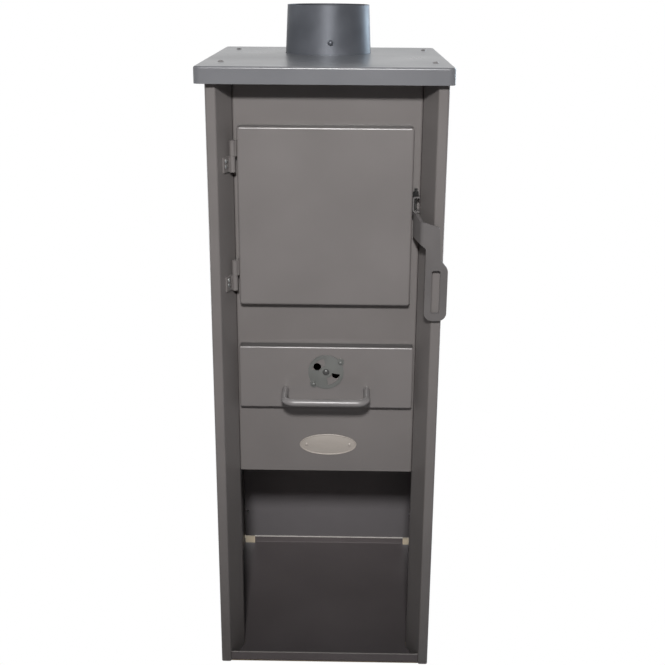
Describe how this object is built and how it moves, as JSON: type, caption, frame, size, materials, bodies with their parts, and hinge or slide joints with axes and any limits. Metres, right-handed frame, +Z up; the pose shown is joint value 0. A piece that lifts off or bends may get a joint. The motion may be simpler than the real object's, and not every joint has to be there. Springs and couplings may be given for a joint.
{
  "type": "wood stove",
  "caption": "Upright sheet-steel wood stove with an open wood store, a hinged fire door with a looped latch lever, an ash drawer with a turning air disc, and a flue collar on top.",
  "frame": {"origin": "on the floor, under the middle of the whole outline", "axes": "+X to the right seen from the front, +Y to the back, +Z up; the door faces -Y"},
  "size_m": [0.3178, 0.3696, 0.92],
  "materials": {
    "painted_steel": "satin heat-proof paint",
    "painted_screw": "painted over with the casing",
    "zinc": "zinc plated",
    "bare_steel": "rolled",
    "cast_iron": "as cast",
    "firebrick": "rough, unglazed",
    "rope": "woven glass fibre",
    "nameplate": "plain, brushed"
  },
  "bodies": {
    "casing": {"side_panel_left": "painted_steel", "side_panel_right": "painted_steel", "back_panel": "painted_steel", "top_plate": "painted_steel", "upper_front_panel": "painted_steel", "lower_front_panel": "painted_steel", "floor_plate": "painted_steel", "store_ceiling": "painted_steel", "flue_collar": "painted_steel", "upper_hinge_body_leaf": "painted_steel", "lower_hinge_body_leaf": "painted_steel", "back_panel_screws": "zinc", "top_plate_screws": "painted_screw", "collar_screw": "painted_screw", "hinge_screws": "zinc", "upper_hinge_pin": "zinc", "lower_hinge_pin": "zinc", "firebox_shell": "bare_steel", "firebox_top": "bare_steel", "ash_chamber_floor": "bare_steel", "drawer_runner_left": "bare_steel", "drawer_runner_right": "bare_steel", "grate_frame": "bare_steel", "baffle_support_left": "bare_steel", "baffle_support_right": "bare_steel", "baffle_plate": "bare_steel", "grate": "cast_iron", "firebrick_left_front": "firebrick", "firebrick_left_rear": "firebrick", "firebrick_right_front": "firebrick", "firebrick_right_rear": "firebrick", "firebrick_rear": "firebrick", "nameplate": "nameplate", "nameplate_rivets": "nameplate"},
    "door": {"door_pan": "painted_steel", "door_liner": "bare_steel", "door_gasket": "rope", "upper_hinge_door_leaf": "painted_steel", "lower_hinge_door_leaf": "painted_steel", "latch_bracket": "painted_steel", "latch_bolt": "zinc", "latch_nut": "zinc"},
    "latch_lever": {"latch_lever": "painted_steel"},
    "ash_drawer": {"drawer_front": "painted_steel", "ash_pan_trough": "bare_steel", "ash_pan_front_wall": "bare_steel", "ash_pan_rear_wall": "bare_steel", "drawer_handle": "painted_steel", "handle_screws": "zinc", "air_disc_rivet": "painted_screw"},
    "air_disc": {"air_disc": "painted_steel", "air_disc_pegs": "painted_screw"}
  },
  "joints": [
    {"name": "door_hinge", "type": "hinge", "parent": "casing", "child": "door", "pos_m": [-0.1169, -0.13525, 0.66], "axis": [0, 0, -1], "range_deg": [0, 110]},
    {"name": "latch_turn", "type": "hinge", "parent": "door", "child": "latch_lever", "pos_m": [0.1171, -0.13125, 0.667], "axis": [0, 0, -1], "range_deg": [-6, 11]},
    {"name": "drawer_slide", "type": "slide", "parent": "casing", "child": "ash_drawer", "axis": [0, -1, 0], "range_m": [0, 0.22]},
    {"name": "air_disc_turn", "type": "hinge", "parent": "ash_drawer", "child": "air_disc", "pos_m": [0.0031, -0.1368, 0.4475], "axis": [0, -1, 0], "range_deg": [-52, 14]}
  ]
}
